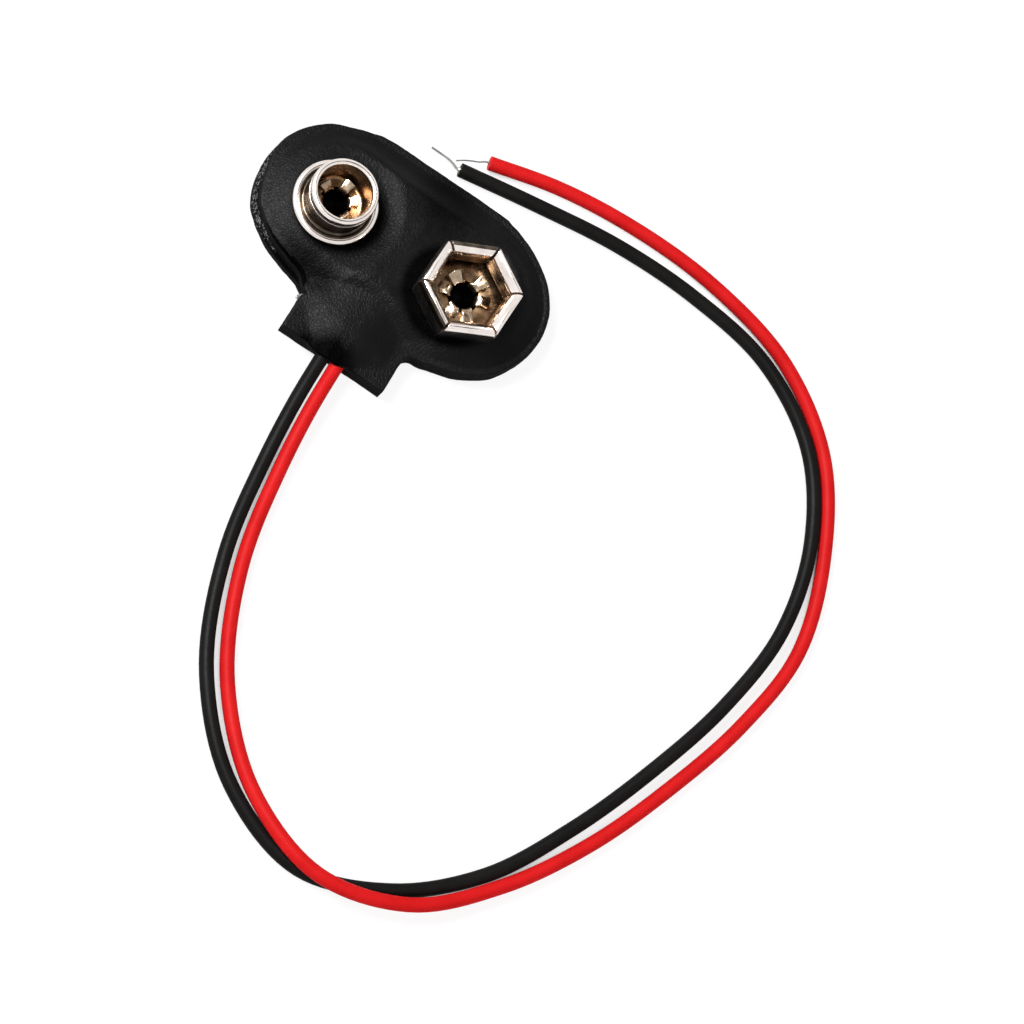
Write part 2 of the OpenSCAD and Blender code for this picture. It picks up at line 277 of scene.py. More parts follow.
def board_fibre():
    material, tree = new_material("board_fibre", Roughness=0.85)
    strands = speckle(tree, place(tree, (1, 3, 1)), 0.5, 5.0, 0.7)
    colour = tint(tree, strands, (0.3, (0.12, 0.045, 0.018)), (0.7, (0.26, 0.10, 0.04)))
    feed(tree, Base_Color=colour, Normal=bump(tree, strands, 0.03))
    return material


LEATHER = leatherette("leatherette", 0.75, 0.038)
# A darker, less glossy copy of the leatherette for the rim at the stud's end: painted shade
RIM = leatherette("leatherette_rim_painted_shade", 0.25, 0.006)
EDGE = cut_edge()
FUZZ = fibre_fuzz()
NICKEL = plated("nickel", (0.75, 0.675, 0.625), (0.88, 0.81, 0.77), (0.10, 0.2), 0.004)
# Dark brown copy of the nickel for the contacts' insides: painted shade and painted warm inter-reflection
CUP = plated("inside_metal_painted_shade", (0.115, 0.062, 0.029), (0.28, 0.18, 0.105), (0.2, 0.34), 0.008)
# Darker copy of the nickel for the stud's groove and parts of some socket leaves: painted shade and
# painted dark reflection
SHADED_NICKEL = plated("shaded_nickel", (0.020, 0.014, 0.009), (0.11, 0.09, 0.07), (0.2, 0.32), 0.004)
RIVET = plated("rivet_metal", (0.20, 0.14, 0.09), (0.46, 0.36, 0.26), (0.18, 0.32), 0.010)
SOLDER = plated("solder", (0.36, 0.37, 0.39), (0.55, 0.56, 0.58), (0.35, 0.5), 0.02)
TINNED = plated("tinned_core", (0.50, 0.46, 0.42), (0.72, 0.69, 0.65), (0.22, 0.36), 0.004)
STRAND = plated("bare_strand", (0.075, 0.071, 0.067), (0.14, 0.135, 0.128), (0.6, 0.75), 0.004)
RED = vinyl("red_vinyl", (0.66, 0.011, 0.012), (0.78, 0.016, 0.017), (0.40, 0.50), 0.02)
BLACK = vinyl("black_vinyl", (0.0075, 0.0070, 0.0067), (0.0120, 0.0111, 0.0106), (0.38, 0.48), 0.024)
BOARD = board_fibre()


# Mesh helpers


def piece(name, verts, faces, materials, marks=None, sharp=None):
    """A mesh from points in millimetres. marks gives each face's material."""
    mesh = bpy.data.meshes.new(name)
    mesh.from_pydata([tuple(Vector(v) * MM) for v in verts], [], faces)
    for m in materials:
        mesh.materials.append(m)
    if marks:
        mesh.polygons.foreach_set("material_index", marks)
    bm = bmesh.new()
    bm.from_mesh(mesh)
    bmesh.ops.recalc_face_normals(bm, faces=bm.faces)
    bm.to_mesh(mesh)
    bm.free()
    mesh.polygons.foreach_set("use_smooth", [True] * len(mesh.polygons))
    if sharp:
        mesh.set_sharp_from_angle(angle=math.radians(sharp))
    return add_object(name, mesh)


def rounded(corners, steps=6):
    """A polyline through (x, z, radius) corners. Where the radius isn't 0, an arc turns the corner."""
    points = []
    for i, (x, z, r) in enumerate(corners):
        here = Vector((x, z))
        if r == 0:
            points.append(here)
            continue
        a = (Vector(corners[i - 1][:2]) - here).normalized()
        b = (Vector(corners[i + 1][:2]) - here).normalized()
        half = math.acos(a.dot(b)) / 2
        reach = r / math.tan(half)
        centre = here + (a + b).normalized() * (r / math.sin(half))
        start, end = here + a * reach - centre, here + b * reach - centre
        swing = start.angle_signed(end)
        for k in range(steps + 1):
            points.append(centre + Matrix.Rotation(-swing * k / steps, 2) @ start)
    return points


def arc(cx, cz, r, first, last, steps):
    """Points on an arc between two angles in degrees."""
    turns = (math.radians(lerp(first, last, k / steps)) for k in range(steps + 1))
    return [Vector((cx + r * math.cos(a), cz + r * math.sin(a))) for a in turns]


def lathe(profile, x, turns=128):
    """Points and faces of a closed section turned about the upright axis at x."""
    verts, faces, n = [], [], len(profile)
    for a in angles(turns):
        verts += [(x + p[0] * math.cos(a), p[0] * math.sin(a), p[1]) for p in profile]
    for k in range(turns):
        m = (k + 1) % turns
        for i in range(n):
            j = (i + 1) % n
            faces.append((k * n + i, m * n + i, m * n + j, k * n + j))
    return verts, faces


def directions(points):
    """The way that a line runs at each of its points."""
    last = len(points) - 1
    return [(points[min(i + 1, last)] - points[max(i - 1, 0)]).normalized() for i in range(last + 1)]


def sweep(points, radii, sides):
    """Points and faces of a round strand along points, closed at both ends."""
    verts, faces = [], []
    ways = directions(points)
    side = ways[0].orthogonal().normalized()
    for p, r, ahead in zip(points, radii, ways):
        side = (side - ahead * side.dot(ahead)).normalized()
        other = ahead.cross(side)
        verts += [p + r * (math.cos(a) * side + math.sin(a) * other) for a in angles(sides)]
    for i in range(len(points) - 1):
        for k in range(sides):
            m = (k + 1) % sides
            faces.append((i * sides + k, i * sides + m, (i + 1) * sides + m, (i + 1) * sides + k))
    faces.append(tuple(range(sides)))
    faces.append(tuple((len(points) - 1) * sides + k for k in range(sides)))
    return verts, faces


def join(parts):
    """One list of points and faces from several."""
    verts, faces = [], []
    for v, f in parts:
        base = len(verts)
        verts += [tuple(p) for p in v]
        faces += [tuple(i + base for i in face) for face in f]
    return verts, faces


def settle(obj, slot, *nodes):
    """The piece rides on the part and stands for these solids, which it hides. slot is not used."""
    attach(obj, "root")
    if nodes:
        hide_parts(*nodes)
    return obj


# Leads: the same routes as the solids
RED_ROUTE = (
    (1.48, -15, 1.2), (2.22, -20.5, 0.7), (4.1, -29, 0.62), (8.4, -37.5, 0.64), (14.9, -43.6, 1.2),
    (22.2, -46, 1.88), (29.4, -43.7, 1.5), (35, -37.9, 0.85), (39.2, -30.9, 0.62), (42.4, -22.9, 0.6),
    (44.7, -15, 0.6), (45.6, -7, 0.6), (43.2, 1.5, 0.6), (38.6, 8.9, 0.6), (31.8, 13.5, 0.6),
    (23.5, 15.3, 0.6), (15, 15.2, 0.6), (8, 14, 0.6), (2.2, 12.1, 0.6),
)
BLACK_ROUTE = (
    (0.12, -15, 1.2), (0.8, -20.5, 0.7), (2.5, -29, 0.62), (6.6, -37.8, 0.6), (13, -43.9, 0.6),
    (20.8, -46.2, 0.6), (28, -43.2, 0.6), (33.5, -37.8, 0.6), (37.4, -30.5, 0.6), (40.4, -22.6, 0.6),
    (42.7, -14.3, 0.6), (43.5, -6.2, 0.6), (41.7, 1.7, 0.6), (37.2, 8.5, 0.6), (30.4, 12.4, 0.6),
    (22.6, 13.4, 0.6), (14.8, 13, 0.6), (7.5, 11.6, 0.6), (0.5, 10, 0.6),
)
RED_TIP = ((1.4, 11.6, 0.62), (0.8, 11.2, 0.65), (0.2, 10.75, 0.7), (-0.2, 10.4, 0.75))
BLACK_TIP = ((-0.2, 10.1, 0.55), (-0.7, 10.25, 0.45), (-1.5, 10.3, 0.35), (-2.4, 10.3, 0.25))


def heading(p, i):
    """The curve's direction at point i: the legs beside it, the shorter one counting more."""
    if i == 0:
        return (p[1] - p[0]).normalized()
    if i == len(p) - 1:
        return (p[i] - p[i - 1]).normalized()
    a, b = (p[i] - p[i - 1]).length, (p[i + 1] - p[i]).length
    return ((p[i] - p[i - 1]) * b / a + (p[i + 1] - p[i]) * a / b) / (a + b)


def smooth(p, per_leg):
    """One smooth curve through the points p."""
    points = []
    for i in range(len(p) - 1):
        long = (p[i + 1] - p[i]).length
        a, b = heading(p, i) * long, heading(p, i + 1) * long
        for k in range(per_leg):
            t = k / per_leg
            chord = t * t * (3 - 2 * t) * (p[i + 1] - p[i])
            points.append(p[i] + chord + t * (1 - t) * ((1 - t) * a - t * b))
    return [*points, p[-1]]


# Points to each leg of a lead or a bare end
LEG_STEPS = 10
# A bare end starts inside the lead and first runs straight. A strand thins to its tip
TIP_SUNK, TIP_OUT, STRAND_TAPER = 0.1, 0.3, 0.25
# The tinned root covers a fifth of the line, and a stretch of a half wave gives its form
ROOT_PART, SWELL_START, SWELL_RUN = 5, 0.25, 0.72


def make_lead(name, side, route, material, slot, node):
    """A lead as a round curve. Also its line, and the point where it leaves the tab."""
    inside = [on_cover(WIRE_SHIFT + side * WIRE_SIDE, y, WIRE_Z) for y in (WIRE_START, TAB_END)]
    points = smooth(inside + [Vector(p) for p in route], LEG_STEPS)
    for p in points:
        p.z = max(p.z, WIRE_R)
    curve = bpy.data.curves.new(name, "CURVE")
    curve.dimensions = "3D"
    curve.bevel_depth = WIRE_R * MM
    curve.bevel_resolution = 6
    curve.use_fill_caps = True
    spline = curve.splines.new("POLY")
    spline.points.add(len(points) - 1)
    for q, p in zip(spline.points, points):
        q.co = (*(p * MM), 1)
    spline.use_smooth = True
    curve.materials.append(material)
    obj = add_object(name, curve)
    settle(obj, slot, node)
    return obj, points, inside[1]


def make_tip(name, points, node, strands, twist, spread_r, strand_r, blob):
    """Bare strands at a lead's cut end, twisted round one line. blob is a tinned root's radius, or 0."""
    line = smooth(points, LEG_STEPS)
    parts = []
    for k in range(strands):
        path, radii = [], []
        for i, (p, ahead) in enumerate(zip(line, directions(line))):
            side = ahead.cross(Vector((0, 0, 1))).normalized()
            above = side.cross(ahead)
            along = i / (len(line) - 1)
            a = 2 * math.pi * (k / strands + twist * along)
            path.append(p + spread_r * (math.cos(a) * side + math.sin(a) * above))
            radii.append(strand_r * (1 - STRAND_TAPER * along))
        parts.append(sweep(path, radii, 8))
    marks = [0] * sum(len(f) for _, f in parts)
    if blob:
        root = line[: len(line) // ROOT_PART]
        half_wave = [math.pi * (SWELL_START + SWELL_RUN * i / len(root)) for i in range(len(root))]
        parts.append(sweep(root, [blob * math.sin(a) for a in half_wave], 14))
        marks += [1] * len(parts[-1][1])
    verts, faces = join(parts)
    return settle(piece(name, verts, faces, [STRAND, TINNED], marks), "tinned_core", node)


red_lead, red_line, red_exit = make_lead("red_lead", 1, RED_ROUTE, RED, "red_insulation", "red_wire")
black_lead, black_line, black_exit = make_lead(
    "black_lead", -1, BLACK_ROUTE, BLACK, "black_insulation", "black_wire"
)


def tip_points(line, route):
    """The line of a bare end, from inside the lead's cut end to its own tip."""
    end, way = line[-1], (line[-1] - line[-2]).normalized()
    return [end - way * TIP_SUNK, end + way * TIP_OUT, *[Vector(p) for p in route]]


red_tip = make_tip(
    "red_bare_strand", tip_points(red_line, RED_TIP), "red_wire_tip",
    strands=1, twist=1.5, spread_r=0.012, strand_r=0.078, blob=0,
)
black_tip = make_tip(
    "black_bare_strands", tip_points(black_line, BLACK_TIP), "black_wire_tip",
    strands=3, twist=0.35, spread_r=0.045, strand_r=0.065, blob=0.24,
)


# Covers: two leatherette sheets, cut to one outline and welded along its edge


def table(x, pairs):
    """The value at x between listed (place, value) pairs."""
    for (a, u), (b, v) in zip(pairs, pairs[1:]):
        if x <= b:
            return lerp(u, v, step(a, b, x))
    return pairs[-1][1]


# How far the hand cut strays outwards: by angle round the socket's end, by place along the long side,
# by angle round the stud's end
CUT_SOCKET_END = (
    (-90, -0.03), (-80, -0.22), (-74, -0.26), (-60, -0.19), (-36, 0.01), (-6, 0.20), (18, 0.25),
    (36, 0.16), (54, 0.03), (72, 0.04), (84, 0.18), (90, 0.33),
)
CUT_SIDE = ((-5.9, 0.34), (-3.6, 0.39), (0, 0.34), (3.6, 0.29), (4.8, 0.26), (5.9, 0.14))
CUT_STUD_END = (
    (90, 0.14), (102, -0.11), (114, -0.20), (132, -0.01), (150, 0.05), (168, 0.0), (210, -0.01),
    (222, -0.21), (234, -0.36), (252, -0.46), (262, -0.34),
)
# The tab's cut corners, from the stud's end to the fillet at the socket's end
TAB_CORNERS = (
    (-5.7, -7.18), (-4.6, -7.85), (-4.86, -8.15), (-4.93, TAB_END), (4.68, TAB_END), (4.75, -8.22),
)
# Steps of the cut line along the long side, and their length at the tab
SIDE_STEPS, TAB_PITCH = 80, 0.15
# Where a cover's edge can lie further in, at the stud's end: from none to all of it
INSET_Y, INSET_X = (2.5, -1.5), (-4.9, -6.2)
# The edge's bow over the leads: size, offset to their left, half width, start before the tab's end
BOW, BOW_LEFT, BOW_HALF, BOW_DEPTH = 0.55, 0.35, (2.2, 0.7), 0.4


def round_end(x, cuts, steps):
    """The cut line round one end of the covers, about x on their long axis."""
    points = []
    for k in range(steps + 1):
        degrees = lerp(cuts[0][0], cuts[-1][0], k / steps)
        r = COVER_R + table(degrees, cuts)
        a = math.radians(degrees)
        points.append(Vector((x + r * math.cos(a), r * math.sin(a))))
    return points


def cut_line(end_inset, over_leads):
    """The covers' hand-cut outline, anticlockwise. end_inset draws it in at the stud's end, over_leads
    is the share of the bow over the leads."""
    path = round_end(COVER_HALF, CUT_SOCKET_END, steps=150)
    for k in range(1, SIDE_STEPS):
        x = lerp(COVER_HALF, -COVER_HALF, k / SIDE_STEPS)
        path.append(Vector((x, COVER_R + table(-x, CUT_SIDE))))
    path += round_end(-COVER_HALF, CUT_STUD_END, steps=144)
    corners = [path[-1], *[Vector(c) for c in TAB_CORNERS]]
    for a, b in zip(corners, corners[1:]):
        n = max(2, round((b - a).length / TAB_PITCH))
        path += [a.lerp(b, k / n) for k in range(1, n + 1)]
    x, y = TAB_CORNERS[-1]
    path += arc(x + TAB_FILLET, y, TAB_FILLET, 180, 92, 12)[1:]
    wavered = []
    for p in path:
        waver = noise.noise_vector(noise_at(p, 0.45, 3.7)).to_2d() * 0.07
        fine = noise.noise_vector(noise_at(p, 2.6, 9.1)).to_2d() * 0.018
        inwards = (Vector((-COVER_HALF, 0)) - p).normalized()
        inset = inwards * end_inset * step(*INSET_Y, p.y) * step(*INSET_X, p.x)
        near_leads = step(*BOW_HALF, abs(p.x - WIRE_SHIFT + BOW_LEFT))
        bow = Vector((0, -BOW * near_leads * step(TAB_END + BOW_DEPTH, TAB_END, p.y)))
        wavered.append(p + waver + fine + inset + bow * over_leads)
    return wavered


class Outline:
    """A closed outline that knows how far a point lies from it."""

    def __init__(self, points):
        self.points = points
        self.tree = kdtree.KDTree(len(points))
        for i, p in enumerate(points):
            self.tree.insert((p.x, p.y, 0), i)
        self.tree.balance()

    def distance(self, p):
        n = len(self.points)
        best = math.inf
        for _, i, _ in self.tree.find_n((p.x, p.y, 0), 2):
            for j in (i - 1, i):
                near = geometry.intersect_point_line(p, self.points[j % n], self.points[(j + 1) % n])
                q = self.points[j % n].lerp(self.points[(j + 1) % n], min(1.0, max(0.0, near[1])))
                best = min(best, (q.to_2d() - p).length)
        return best

    def inset(self, d):
        """Points that lie d inside the outline, without those that one of its bends brings nearer."""
        found, n = [], len(self.points)
        for i, p in enumerate(self.points):
            along = self.points[(i + 1) % n] - self.points[i - 1]
            q = p + Vector((-along.y, along.x)).normalized() * d
            if self.distance(q) > 0.97 * d:
                found.append(q)
        return found


# Distances of a sheet's rings of points, and of the net inside them, from the edge
EDGE_RINGS, NET_START = (0.05, 0.11, 0.2, 0.36, 0.5, 0.6, 0.7, 0.82, 0.98), 1.08
# The net's row height and its distance from holes, in shares of its pitch
NET_ROW, NET_CLEAR = 0.866, 0.6
HOLE_SIDES = 40
INSIDE_WITHOUT_HOLES, SAME_POINT = 2, 1e-5


def sheet_plan(outline, holes, pitch):
    """Points and triangles that fill an outline: rings along its edge, a close net inside. Also its
    loop, the holes' loops, and which points each new point came from."""
    points = [p.copy() for p in outline.points]
    loops = [list(range(len(points)))]
    for centre, r in holes:
        loops.append(list(range(len(points), len(points) + HOLE_SIDES)))
        points += [centre + r * Vector((math.cos(a), math.sin(a))) for a in angles(HOLE_SIDES)]
    for d in EDGE_RINGS:
        points += outline.inset(d)
    low_x, low_y = (min(p[k] for p in outline.points) for k in (0, 1))
    high_x, high_y = (max(p[k] for p in outline.points) for k in (0, 1))
    row, y = 0, low_y
    while y < high_y:
        x = low_x + (row % 2) * pitch / 2
        while x < high_x:
            p = Vector((x, y))
            clear = all((p - c).length > r + NET_CLEAR * pitch for c, r in holes)
            if clear and within(p, outline.points) and outline.distance(p) > NET_START:
                points.append(p)
            x += pitch
        y += pitch * NET_ROW
        row += 1
    edges = [(a, b) for loop in loops for a, b in zip(loop, loop[1:] + loop[:1])]
    filled = geometry.delaunay_2d_cdt(points, edges, [], INSIDE_WITHOUT_HOLES, SAME_POINT)
    flat, _, triangles, source, _, _ = filled
    return flat, triangles, loops, source


def within(p, ring):
    """True if p lies inside the closed ring of points."""
    inside = False
    a = ring[-1]
    for b in ring:
        if (a.y > p.y) != (b.y > p.y) and p.x < a.x + (p.y - a.y) * (b.x - a.x) / (b.y - a.y):
            inside = not inside
        a = b
    return inside


# Painted shade along the cut at the stud's end towards the tab, where faces take the darker copy of the
# leatherette: full width, largest x, y where it starts and is full
RIM_W, RIM_X, RIM_START, RIM_FULL = 0.43, -5, -4.2, -6.5
# The middle of a cut edge stands out so far, and varies by so much
CUT_BULGE, CUT_ROUGH = 0.02, 0.035
# The materials of a sheet, by number; DARK takes the leatherette copy with painted shade
SKIN, CUT, DARK = range(3)


def sheet_piece(name, outline, holes, pitch, top, low):
    """A closed sheet: its upper and lower skins are heights over the plan, its rim is a rough cut."""
    flat, triangles, loops, source = sheet_plan(outline, holes, pitch)
    n = len(flat)
    made = {o: i for i, came in enumerate(source) for o in came}
    verts, faces, marks = [], [], []
    for side in (top, low):
        for p in flat:
            q = on_cover(p.x, p.y)
            verts.append((q.x, q.y, side(p, q, outline.distance(p))))
    # Faces near the cut at the stud's end take the darker copy of the leatherette: painted shade
    dark = [p.x < RIM_X and outline.distance(p) < RIM_W * step(RIM_START, RIM_FULL, p.y) for p in flat]
    for t in triangles:
        faces += [tuple(t), tuple(i + n for i in reversed(t))]
        marks += [DARK if all(dark[i] for i in t) else SKIN, SKIN]
    for loop in loops:
        ids = [made[i] for i in loop]
        mids = []
        for k, i in enumerate(ids):
            along = flat[ids[(k + 1) % len(ids)]] - flat[ids[k - 1]]
            out = Vector((along.y, -along.x)).normalized()
            rough = CUT_ROUGH * noise.noise(noise_at(flat[i], 5.1, 1.3))
            p = flat[i] + out * (CUT_BULGE + rough if loop is loops[0] else 0)
            q = on_cover(p.x, p.y)
            mids.append(len(verts))
            verts.append((q.x, q.y, lerp(verts[i][2], verts[i + n][2], 0.5)))
        for k in range(len(ids)):
            m = (k + 1) % len(ids)
            faces.append((ids[k], mids[k], mids[m], ids[m]))
            faces.append((mids[k], ids[k] + n, ids[m] + n, mids[m]))
            marks += [CUT, CUT]
    return piece(name, verts, faces, [LEATHER, EDGE, RIM], marks, sharp=50)


def hex_reach(p):
    """Distance from the socket's axis, measured square to its nearest flat."""
    q = Vector((p.x - SOCKET_X, p.y))
    return max(q.x * math.cos(a) + q.y * math.sin(a) for a in angles(6))


def edge_drop(d, r):
    """How far a rounded edge of radius r has fallen at a distance d from the cut."""
    return 0.0 if d >= r else r - math.sqrt(max(0.0, r * r - (r - d) ** 2))


# Each crease: its two ends in the covers' frame, half width, height. All bow to one side by CREASE_BOW
CREASES = (
    ((-2.9, -6.9), (-1.2, -2.6), 0.24, 0.05),
    ((-2.2, -7.4), (-0.6, -3.3), 0.22, 0.035),
    ((-3.7, -7.5), (-2.1, -4.8), 0.24, 0.035),
    ((-4.0, -9.0), (-1.6, -7.7), 0.24, 0.04),
    ((-3.9, -10.1), (-1.5, -9.0), 0.22, 0.035),
)
CREASE_BOW = 0.35


def crease(p):
    """Fine wrinkles where the cover is drawn down between the stud and the tab."""
    height = 0.0
    for a, b, wide, deep in CREASES:
        a, b = Vector(a), Vector(b)
        near, t = geometry.intersect_point_line(p, a, b)
        if 0 < t < 1:
            bow = CREASE_BOW * math.sin(math.pi * t)
            off = -(p - near.to_2d()).cross(b - a) / (b - a).length - bow
            height += deep * math.sin(math.pi * t) * math.exp(-((off / wide) ** 2))
    return height


# Form of the top cover. Pairs run from where something is 0 to where it is full.
# The dome over the board: radius of its foot, run of its flank, share of rounding
DOME_FOOT, DOME_RUN, DOME_ROUND = 6.85, 2.45, 0.55
# The pillow between the contacts: its height, and where it rises beside the stud and the socket
PILLOW_H, PILLOW_STUD, PILLOW_SOCKET = 0.46, (4.4, 6.0), (3.9, 5.9)
# Towards the tab it keeps further from the stud
PILLOW_AWAY, AWAY_Y = 0.6, (-2.0, -5.5)
# It ends before the covers' edge, and further out towards the tab
PILLOW_END, PILLOW_TAB_END = (6.3, 4.4), (7.4, 3.6)
TOWARDS_TAB_X, TOWARDS_TAB_Y = (5.0, 3.0), (0.0, -3.0)
# The tunnel over the leads: its height, half width of its ridge, and how softly it meets the rest
TUNNEL_H, TUNNEL_RIDGE, TUNNEL_BLEND = 0.98, 0.4, 0.38
# Its flank right and left of the leads: stretch from the tab's end in which its foot spreads, the foot
# there and further in, and the distances between which the flank comes in
RIGHT_FLANK = (2.4, 2.3, 5.0, 4.4, 3.2)
LEFT_FLANK = (4.4, 2.6, 6.0, 5.2, 4.2)
# The edge droops over the leads: reach inwards, middle, half width, slope
DROOP_IN, DROOP_X, DROOP_HALF, DROOP_SLOPE = 1.9, -0.7, 3.6, 0.09
# Waves and creases keep clear of the stud and the socket, and waves of the flat rim
CLEAR_STUD, CLEAR_SOCKET, CLEAR_RIM = (3.65, 4.1), (3.8, 4.3), (0.0, 0.4)


def from_leads(p):
    """Distance from the middle line of the leads' stretch inside the covers."""
    return Vector((p.x - WIRE_SHIFT, max(0.0, p.y - WIRE_START))).length


def over(p, q):
    """Height of the top cover's upper skin, edge apart. p is in the covers' frame, q in the part's."""
    from_axis = Vector((max(0.0, abs(p.x) - COVER_HALF), p.y)).length
    from_stud = Vector((q.x - STUD_X, q.y)).length
    from_socket = hex_reach(q)
    fall = min(1.0, max(0.0, (DOME_FOOT - from_axis) / DOME_RUN))
    dome = DOME_H * lerp(fall, step(0, 1, fall), DOME_ROUND)
    away = PILLOW_AWAY * step(*AWAY_Y, p.y)
    pillow = PILLOW_H * step(PILLOW_STUD[0] + away, PILLOW_STUD[1] + away, from_stud)
    pillow *= step(*PILLOW_SOCKET, from_socket)
    towards_tab = step(*TOWARDS_TAB_X, abs(p.x)) * step(*TOWARDS_TAB_Y, p.y)
    end = [lerp(a, b, towards_tab) for a, b in zip(PILLOW_END, PILLOW_TAB_END)]
    pillow *= step(*end, from_axis)
    high = dome + pillow
    run, foot_out, foot_in, none, full = RIGHT_FLANK if p.x > WIRE_SHIFT else LEFT_FLANK
    foot = lerp(foot_out, foot_in, step(TAB_END, TAB_END + run, p.y))
    side = from_leads(p)
    tunnel = TUNNEL_H * step(foot, TUNNEL_RIDGE, side)
    both = 0.5 * (high + tunnel + math.sqrt((high - tunnel) ** 2 + TUNNEL_BLEND * TUNNEL_BLEND))
    body = lerp(high, max(high, both - 0.5 * TUNNEL_BLEND), step(none, full, side))
    droop = DROOP_IN * (1 - ((p.x - DROOP_X) / DROOP_HALF) ** 2)
    if droop > 0:
        body -= DROOP_SLOPE * max(0.0, droop - (p.y - TAB_END))
    wave = 0.045 * noise.noise(noise_at(p, 0.5, 0.4))
    wave += 0.02 * noise.noise(noise_at(p, 1.6, 5.2))
    clear = step(*CLEAR_STUD, from_stud) * step(*CLEAR_SOCKET, from_socket)
    return RIM_Z + max(0.0, body) + clear * (wave * step(*CLEAR_RIM, body) + crease(p))


# The weld line: two depths and the x between which it deepens, distance from the cut, half width, and
# the y between which it comes in beyond the tab
WELD_DEPTH, WELD_X = (0.02, 0.06), (3, 8)
WELD_IN, WELD_HALF, WELD_Y = 0.6, 0.12, (-8.6, -6.8)
# The covers lie twice this far apart where they meet
MEET_GAP = 0.004
# Radius of the covers' outer edges and of the two inner ones, which fall away by only a share
OUTER_R, TOP_INNER_R, BOTTOM_INNER_R = 0.14, 0.1, 0.12
TOP_INNER_SHARE, BOTTOM_INNER_SHARE = 0.3, 0.4
# Room over the leads, where the lining rises over them, reach of the board, least thickness
LEAD_ROOM, LINING_LEADS, BOARD_REACH, LEAST_T = 0.03, (1.95, 0.75), 4.3, 0.25


def top_skin(p, q, d):
    """The top cover's upper skin at the distance d from its cut edge, with the weld line."""
    deep = lerp(*WELD_DEPTH, step(*WELD_X, p.x))
    weld = deep * math.exp(-(((d - WELD_IN) / WELD_HALF) ** 2)) * step(*WELD_Y, p.y)
    return over(p, q) - weld - edge_drop(d, OUTER_R)


def top_lining(p, q, d):
    """The top cover's lower skin, on the leads in the tab, on the board, on the other cover round them."""
    low = COVER_T + MEET_GAP
    leads = lerp(low, 2 * WIRE_R + COVER_T + LEAD_ROOM, step(*LINING_LEADS, from_leads(p)))
    on_board = Vector((max(0.0, abs(q.x) - SOCKET_X), q.y)).length < BOARD_REACH
    board = SEAT_Z - COVER_T if on_board else low
    skin = over(p, q)
    lining = min(skin - LEAST_T, max(low, skin - COVER_T, leads, board))
    return lining + TOP_INNER_SHARE * edge_drop(d, TOP_INNER_R)


def bottom_skin(p, q, d):
    return COVER_T - MEET_GAP - BOTTOM_INNER_SHARE * edge_drop(d, BOTTOM_INNER_R)


def bottom_lining(p, q, d):
    return edge_drop(d, OUTER_R)


TOP_LINE = Outline(cut_line(end_inset=0.42, over_leads=1.0))
BOTTOM_LINE = Outline(cut_line(end_inset=0.0, over_leads=0.0))
TOP_PITCH, BOTTOM_PITCH = 0.24, 0.6
to_cover = Matrix.Rotation(-COVER_TURN, 2)
rivet_holes = [(to_cover @ (Vector((x, 0)) - COVER_SHIFT), HOLE_R) for x in (STUD_X, SOCKET_X)]
top_cover = sheet_piece("top_cover_sheet", TOP_LINE, rivet_holes, TOP_PITCH, top_skin, top_lining)
bottom_cover = sheet_piece("bottom_cover_sheet", BOTTOM_LINE, [], BOTTOM_PITCH, bottom_skin, bottom_lining)
settle(top_cover, "leatherette", "top_cover")
settle(bottom_cover, "leatherette", "bottom_cover")

# Fibres stand at the notch beside the tab, and along the frayed stretch at the stud's end
NOTCH, NOTCH_R = Vector((-4.7, -8.0)), 0.3
FRAYED_X, FRAYED_Y = (-8.8, -10.6), (3.0, 0.5)
# Share of the cut line's points that have fibres, and how many each of them has
NOTCH_SHARE, FRAYED_SHARE, PLAIN_SHARE = 0.95, 0.9, 0.02
NOTCH_COUNT, EDGE_COUNT = 14, 6


def fibre(dice, p, out, notch):
    """One fibre at the point p of the cut. At the notch it stands out, elsewhere it lies along the cut."""
    z = dice.uniform(0.55, 0.95 if notch else 1.02)
    deep = 0.05 if notch else dice.uniform(0.05, 0.42)
    long = dice.uniform(0.11, 0.37) if notch else dice.uniform(0.1, 0.32)
    lean = Vector((dice.uniform(-0.5, 0.5), dice.uniform(-0.5, 0.5), dice.uniform(-0.3, 0.5)))
    at = on_cover(p.x, p.y, z)
    q = on_cover(p.x + out.x, p.y + out.y, z) - at
    trail = 0.0 if notch else dice.uniform(-2.0, 2.0)
    way = (q * (1.0 if notch else 0.2) + q.cross(Vector((0, 0, trail))) + lean).normalized()
    bend = way.cross(Vector((0, 0, 1))) * dice.uniform(-0.5, 0.5)
    points = [at - q * deep + way * long * t + bend * long * t * t for t in (0, 0.35, 0.7, 1.0)]
    r = dice.uniform(0.012, 0.026) * (1.6 if notch else 1)
    return sweep(points, [r, r, r * 0.9, r * 0.5], 5)


def make_fuzz():
    """Pale backing fibres in the cut edge, most of them at the stud's end."""
    dice = random.Random(7)
    parts = []
    line = BOTTOM_LINE.points
    for i, p in enumerate(line):
        along = line[(i + 1) % len(line)] - line[i - 1]
        out = Vector((along.y, -along.x)).normalized()
        notch = (p - NOTCH).length < NOTCH_R
        frayed = step(*FRAYED_X, p.x) * step(*FRAYED_Y, p.y)
        share = NOTCH_SHARE if notch else FRAYED_SHARE * frayed + PLAIN_SHARE
        if dice.random() > share:
            continue
        parts += [fibre(dice, p, out, notch) for _ in range(NOTCH_COUNT if notch else EDGE_COUNT)]
    verts, faces = join(parts)
    return settle(piece("edge_fibres", verts, faces, [FUZZ]), "leatherette")


edge_fibres = make_fuzz()


# Contacts: the materials of their shells, by number. INNER and SHADED are darker copies of the nickel,
# painted shade
PLATE, INNER, SHADED = range(3)
